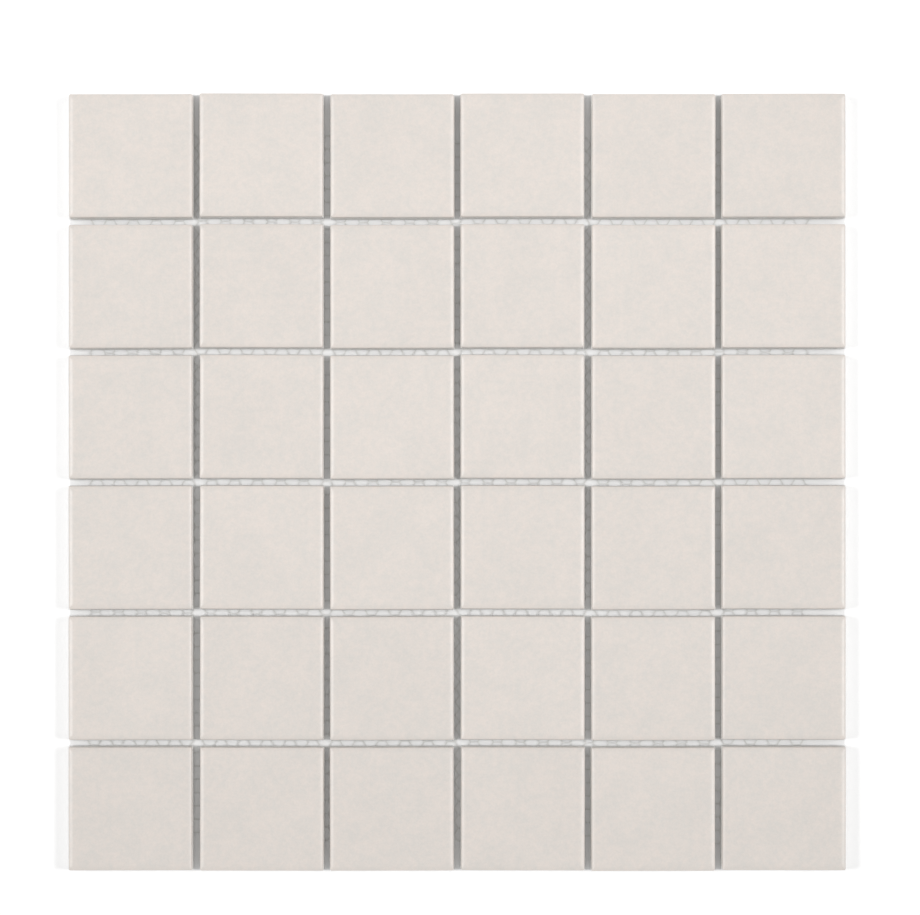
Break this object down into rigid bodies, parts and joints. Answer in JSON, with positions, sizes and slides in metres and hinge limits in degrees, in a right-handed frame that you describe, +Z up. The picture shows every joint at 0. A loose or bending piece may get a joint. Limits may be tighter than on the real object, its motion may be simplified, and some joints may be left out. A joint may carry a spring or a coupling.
{
  "type": "mosaic tile sheet",
  "caption": "Square sheet of small square glazed ceramic mosaic tiles with open joints, held by a honeycomb net glued to their backs, for bedding on floors and walls.",
  "frame": {"origin": "under the middle of the sheet, on the underside of its net", "axes": "+Z up, out of the glazed faces; +X along the rows, from column 1 to column 6; +Y across them, from row 6 to row 1, the back row"},
  "size_m": [0.298, 0.2982, 0.0064],
  "materials": {
    "glaze": "smooth satin glaze, warm white, faintly mottled",
    "net": "thin white woven net"
  },
  "bodies": {
    "root": {"tile_r1_c1": "glaze", "tile_r1_c2": "glaze", "tile_r1_c3": "glaze", "tile_r1_c4": "glaze", "tile_r1_c5": "glaze", "tile_r1_c6": "glaze", "tile_r2_c1": "glaze", "tile_r2_c2": "glaze", "tile_r2_c3": "glaze", "tile_r2_c4": "glaze", "tile_r2_c5": "glaze", "tile_r2_c6": "glaze", "tile_r3_c1": "glaze", "tile_r3_c2": "glaze", "tile_r3_c3": "glaze", "tile_r3_c4": "glaze", "tile_r3_c5": "glaze", "tile_r3_c6": "glaze", "tile_r4_c1": "glaze", "tile_r4_c2": "glaze", "tile_r4_c3": "glaze", "tile_r4_c4": "glaze", "tile_r4_c5": "glaze", "tile_r4_c6": "glaze", "tile_r5_c1": "glaze", "tile_r5_c2": "glaze", "tile_r5_c3": "glaze", "tile_r5_c4": "glaze", "tile_r5_c5": "glaze", "tile_r5_c6": "glaze", "tile_r6_c1": "glaze", "tile_r6_c2": "glaze", "tile_r6_c3": "glaze", "tile_r6_c4": "glaze", "tile_r6_c5": "glaze", "tile_r6_c6": "glaze", "net_band_01": "net", "net_band_02": "net", "net_band_03": "net", "net_band_04": "net", "net_band_05": "net", "net_band_06": "net", "net_band_07": "net", "net_band_08": "net", "net_band_09": "net", "net_band_10": "net", "net_band_11": "net", "net_band_12": "net", "net_band_13": "net", "net_band_14": "net", "net_band_15": "net", "net_band_16": "net"}
  },
  "joints": []
}
